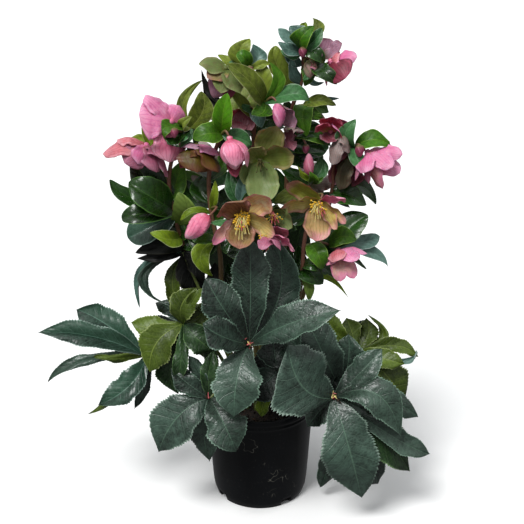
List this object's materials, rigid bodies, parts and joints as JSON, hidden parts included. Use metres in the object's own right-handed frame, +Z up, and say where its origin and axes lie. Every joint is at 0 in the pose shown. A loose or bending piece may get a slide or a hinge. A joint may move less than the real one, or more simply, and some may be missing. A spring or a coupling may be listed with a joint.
{
  "type": "potted hellebore",
  "caption": "Bushy hellebore in a round black nursery pot: dark toothed leaves below, leafy flowering stems with nodding pink and green blooms above.",
  "frame": {"origin": "middle of the flat underside of the pot", "axes": "+Z up along the pot's axis, -Y towards the side with the open blooms, +X to the right seen from there"},
  "size_m": [0.4646, 0.2703, 0.5946],
  "materials": {
    "pot": "matt black moulded plastic",
    "soil": "damp crumbly potting soil",
    "leaf_dark": "leathery dark green leaf with a soft sheen",
    "leaf_olive": "matt olive green leaf",
    "stem": "satin green shoot flushed with red",
    "petal_pink": "satin pink sepal",
    "petal_rose": "satin deep rose sepal",
    "petal_green": "satin ageing green sepal",
    "petal_mauve": "matt greyish mauve sepal",
    "petal_blush": "satin olive and peach sepal",
    "stamen": "matt golden stamen"
  },
  "bodies": {
    "root": {"bloom_back": "petal_green", "bloom_back_left": "petal_pink", "bloom_back_right": "petal_pink", "bloom_grey_middle": "petal_mauve", "bloom_half_open": "petal_pink", "bloom_left_big": "petal_pink", "bloom_left_cup": "petal_green", "bloom_left_low": "petal_pink", "bloom_mauve_lower": "petal_mauve", "bloom_mauve_upper": "petal_mauve", "bloom_old_olive": "petal_green", "bloom_open_front": "petal_blush", "bloom_open_green": "petal_green", "bloom_open_right": "petal_blush", "bloom_red_cup": "petal_rose", "bloom_right_big": "petal_pink", "bloom_right_low": "petal_pink", "bloom_right_red": "petal_rose", "bloom_small_front": "petal_rose", "bloom_small_green": "petal_green", "bloom_top_mauve": "petal_mauve", "bloom_top_right": "petal_rose", "bud_left": "petal_pink", "bud_middle": "petal_pink", "bud_right": "petal_pink", "bud_top": "petal_mauve", "leaf_back": "leaf_dark", "leaf_back_left": "leaf_dark", "leaf_back_right": "leaf_dark", "leaf_far_left": "leaf_dark", "leaf_front": "leaf_dark", "leaf_left": "leaf_dark", "leaf_lower_front": "leaf_dark", "leaf_olive_left": "leaf_olive", "leaf_olive_right": "leaf_olive", "leaf_right_behind": "leaf_dark", "leaf_right_front": "leaf_dark", "leaf_upper_left": "leaf_dark", "pot": "pot", "soil": "soil", "stamens_open_front": "stamen", "stamens_open_green": "stamen", "stamens_open_right": "stamen", "stem_back": "stem", "stem_back_left": "stem", "stem_back_right": "stem", "stem_front": "stem", "stem_left": "stem", "stem_left_tall": "stem", "stem_middle": "stem", "stem_right": "stem", "stem_right_front": "stem", "stem_right_tall": "stem"}
  },
  "joints": []
}
